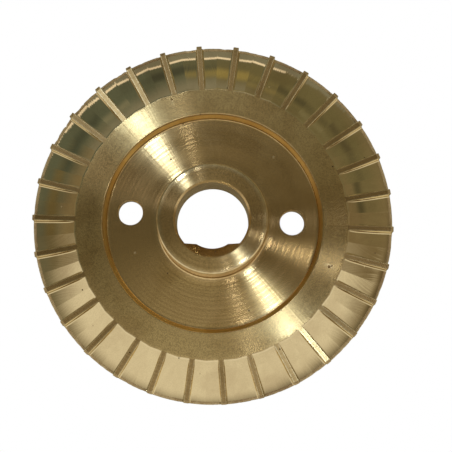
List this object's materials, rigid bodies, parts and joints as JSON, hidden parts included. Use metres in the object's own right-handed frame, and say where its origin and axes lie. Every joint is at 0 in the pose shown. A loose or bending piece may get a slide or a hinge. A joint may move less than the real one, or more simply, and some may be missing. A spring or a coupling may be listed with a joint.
{
  "type": "peripheral pump impeller",
  "caption": "Brass wheel with straight milled blades round both edges, a raised hub with a flatted bore, and balance holes.",
  "frame": {"origin": "on the bore's axis, at the level of the ring's back face that the wheel rests on", "axes": "+Z along the bore's axis, out of the side with the tall hub boss; -Y towards the flat of the bore"},
  "size_m": [0.08, 0.08, 0.0135],
  "materials": {
    "brass": "turned and milled brass, satin, with fine concentric tool marks"
  },
  "bodies": {
    "root": {"impeller": "brass"}
  },
  "joints": []
}
